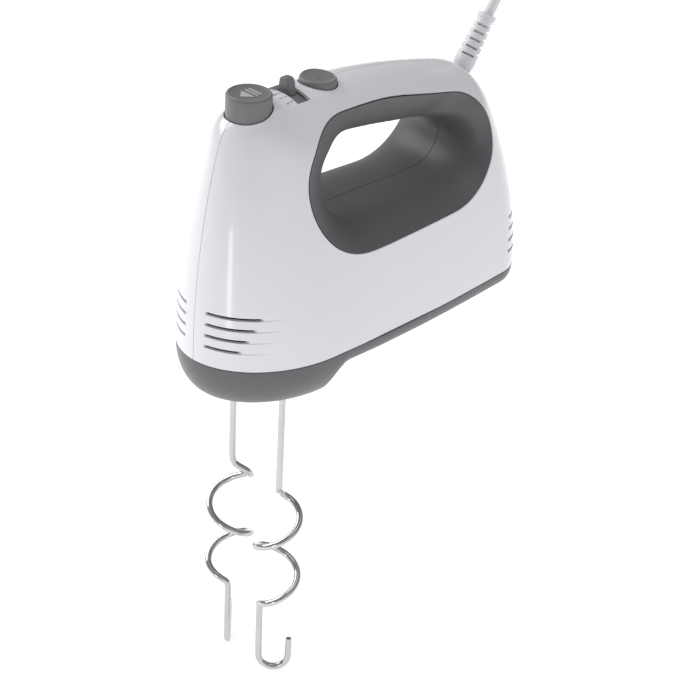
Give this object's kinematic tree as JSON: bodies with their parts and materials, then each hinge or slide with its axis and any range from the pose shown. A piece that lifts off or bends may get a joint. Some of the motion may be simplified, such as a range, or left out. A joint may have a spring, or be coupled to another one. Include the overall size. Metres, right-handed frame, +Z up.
{
  "type": "hand mixer",
  "caption": "Corded hand mixer with a closed loop handle, controls on top, a grey base and a pair of helical wire dough hooks.",
  "frame": {"origin": "middle of the handle's grip bar, where a hand holds the mixer up", "axes": "+Z up, away from the hooks; +X across the mixer, to its right seen from behind; -Y towards the nose, +Y towards the mains lead"},
  "size_m": [0.1556, 0.2617, 0.3475],
  "materials": {
    "white_gloss_plastic": "glossy",
    "base_grey_plastic": "semi-gloss",
    "grip_soft_grey": "soft matte",
    "grey_plastic": "satin",
    "black_plastic": "matte",
    "polished_steel": "polished",
    "core_steel": "dull laminated",
    "copper_winding": "enamelled copper wire",
    "brass": "satin",
    "carbon": "matte",
    "natural_nylon": "satin",
    "white_cord": "satin PVC"
  },
  "bodies": {
    "frame": {"housing_right": "white_gloss_plastic", "housing_left": "white_gloss_plastic", "base_cover": "base_grey_plastic", "grip_trim_right": "grip_soft_grey", "grip_trim_left": "grip_soft_grey", "spindle_bush_right": "brass", "spindle_bush_left": "brass", "front_bearing": "brass", "rear_bearing": "brass", "stator_core": "core_steel", "field_coil_right": "copper_winding", "field_coil_left": "copper_winding", "carbon_brush_right": "carbon", "carbon_brush_left": "carbon", "brush_holder_right": "brass", "brush_holder_left": "brass", "gear_frame": "grey_plastic", "ejector_guide": "grey_plastic", "ejector_spring": "polished_steel", "selector_pin": "polished_steel", "speed_switch": "black_plastic", "turbo_switch": "black_plastic", "turbo_spring": "polished_steel", "base_screw_1": "polished_steel", "base_screw_2": "polished_steel", "base_screw_3": "polished_steel", "strain_relief": "white_cord", "power_cord": "white_cord", "cord_hank": "white_cord", "cord_tie": "black_plastic", "cord_lead": "white_cord", "plug_body": "white_cord", "plug_pin_a": "brass", "plug_pin_b": "brass"},
    "rotor": {"motor_shaft": "polished_steel", "armature_core": "core_steel", "armature_winding_front": "copper_winding", "armature_winding_rear": "copper_winding", "commutator": "copper_winding", "worm": "polished_steel", "cooling_fan": "black_plastic"},
    "spindle_right": {"worm_wheel_right": "natural_nylon", "spindle_sleeve_right": "polished_steel"},
    "spindle_left": {"worm_wheel_left": "natural_nylon", "spindle_sleeve_left": "polished_steel"},
    "hook_right": {"dough_hook_right": "polished_steel"},
    "hook_left": {"dough_hook_left": "polished_steel"},
    "ejector": {"ejector_button": "grey_plastic", "ejector_yoke": "grey_plastic"},
    "selector": {"speed_lever": "grey_plastic"},
    "turbo": {"turbo_button": "grey_plastic"}
  },
  "joints": [
    {"name": "motor_spin", "type": "hinge", "parent": "frame", "child": "rotor", "pos_m": [0, -0.06, -0.086], "axis": [0, 1, 0], "continuous": true},
    {"name": "spindle_right_spin", "type": "hinge", "parent": "frame", "child": "spindle_right", "pos_m": [0.0175, -0.06, -0.086], "axis": [0, 0, 1], "continuous": true},
    {"name": "spindle_left_spin", "type": "hinge", "parent": "frame", "child": "spindle_left", "pos_m": [-0.0175, -0.06, -0.086], "axis": [0, 0, 1], "continuous": true},
    {"name": "ejector_press", "type": "slide", "parent": "frame", "child": "ejector", "axis": [0, 0, -1], "range_m": [0, 0.008], "stiffness_N_per_m": 700, "springref_m": -0.004, "deforming": ["ejector_spring"]},
    {"name": "hook_right_release", "type": "slide", "parent": "spindle_right", "child": "hook_right", "axis": [0, 0, -1], "range_m": [0, 0.008]},
    {"name": "hook_left_release", "type": "slide", "parent": "spindle_left", "child": "hook_left", "axis": [0, 0, -1], "range_m": [0, 0.008]},
    {"name": "selector_swing", "type": "hinge", "parent": "frame", "child": "selector", "pos_m": [0, -0.0468, -0.013], "axis": [0, 1, 0], "range_deg": [-13.9, 20.6]},
    {"name": "turbo_press", "type": "slide", "parent": "frame", "child": "turbo", "axis": [0, 0, -1], "range_m": [0, 0.0025], "stiffness_N_per_m": 500, "springref_m": -0.002, "deforming": ["turbo_spring"]}
  ],
  "couplings": [
    {"joint": "spindle_right_spin", "follows": "motor_spin", "ratio": 0.038462},
    {"joint": "spindle_left_spin", "follows": "motor_spin", "ratio": -0.038462},
    {"joint": "hook_right_release", "follows": "ejector_press", "ratio": 1},
    {"joint": "hook_left_release", "follows": "ejector_press", "ratio": 1}
  ]
}
